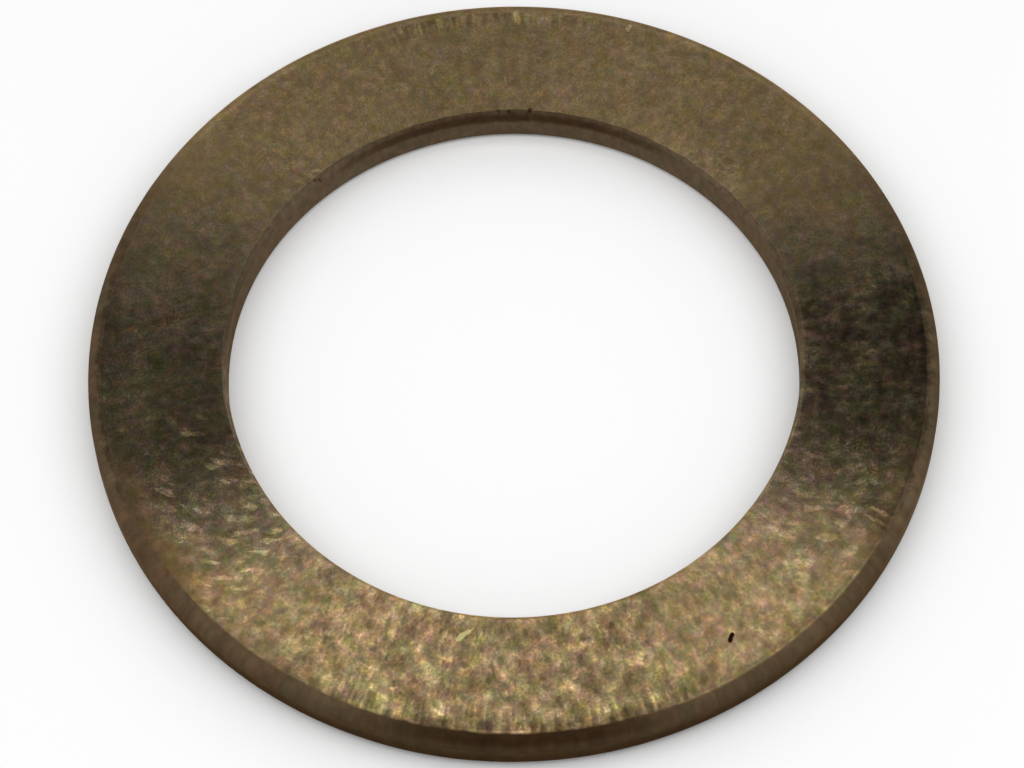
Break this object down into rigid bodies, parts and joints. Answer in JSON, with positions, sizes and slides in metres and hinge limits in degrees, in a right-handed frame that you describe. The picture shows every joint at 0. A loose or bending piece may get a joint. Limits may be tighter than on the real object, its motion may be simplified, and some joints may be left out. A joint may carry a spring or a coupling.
{
  "type": "axle washer",
  "caption": "Plain flat bronze thrust ring for an axle, with a plain bore, rounded outer rim and lightly chamfered bore.",
  "frame": {"origin": "centre of the bore on the lower face, which is what the ring lies on", "axes": "+Z along the bore, from the lower face to the upper face; +X and +Y lie in the lower face"},
  "size_m": [0.075, 0.075, 0.004],
  "materials": {
    "bronze": "satin, patinated"
  },
  "bodies": {
    "root": {"washer": "bronze"}
  },
  "joints": []
}
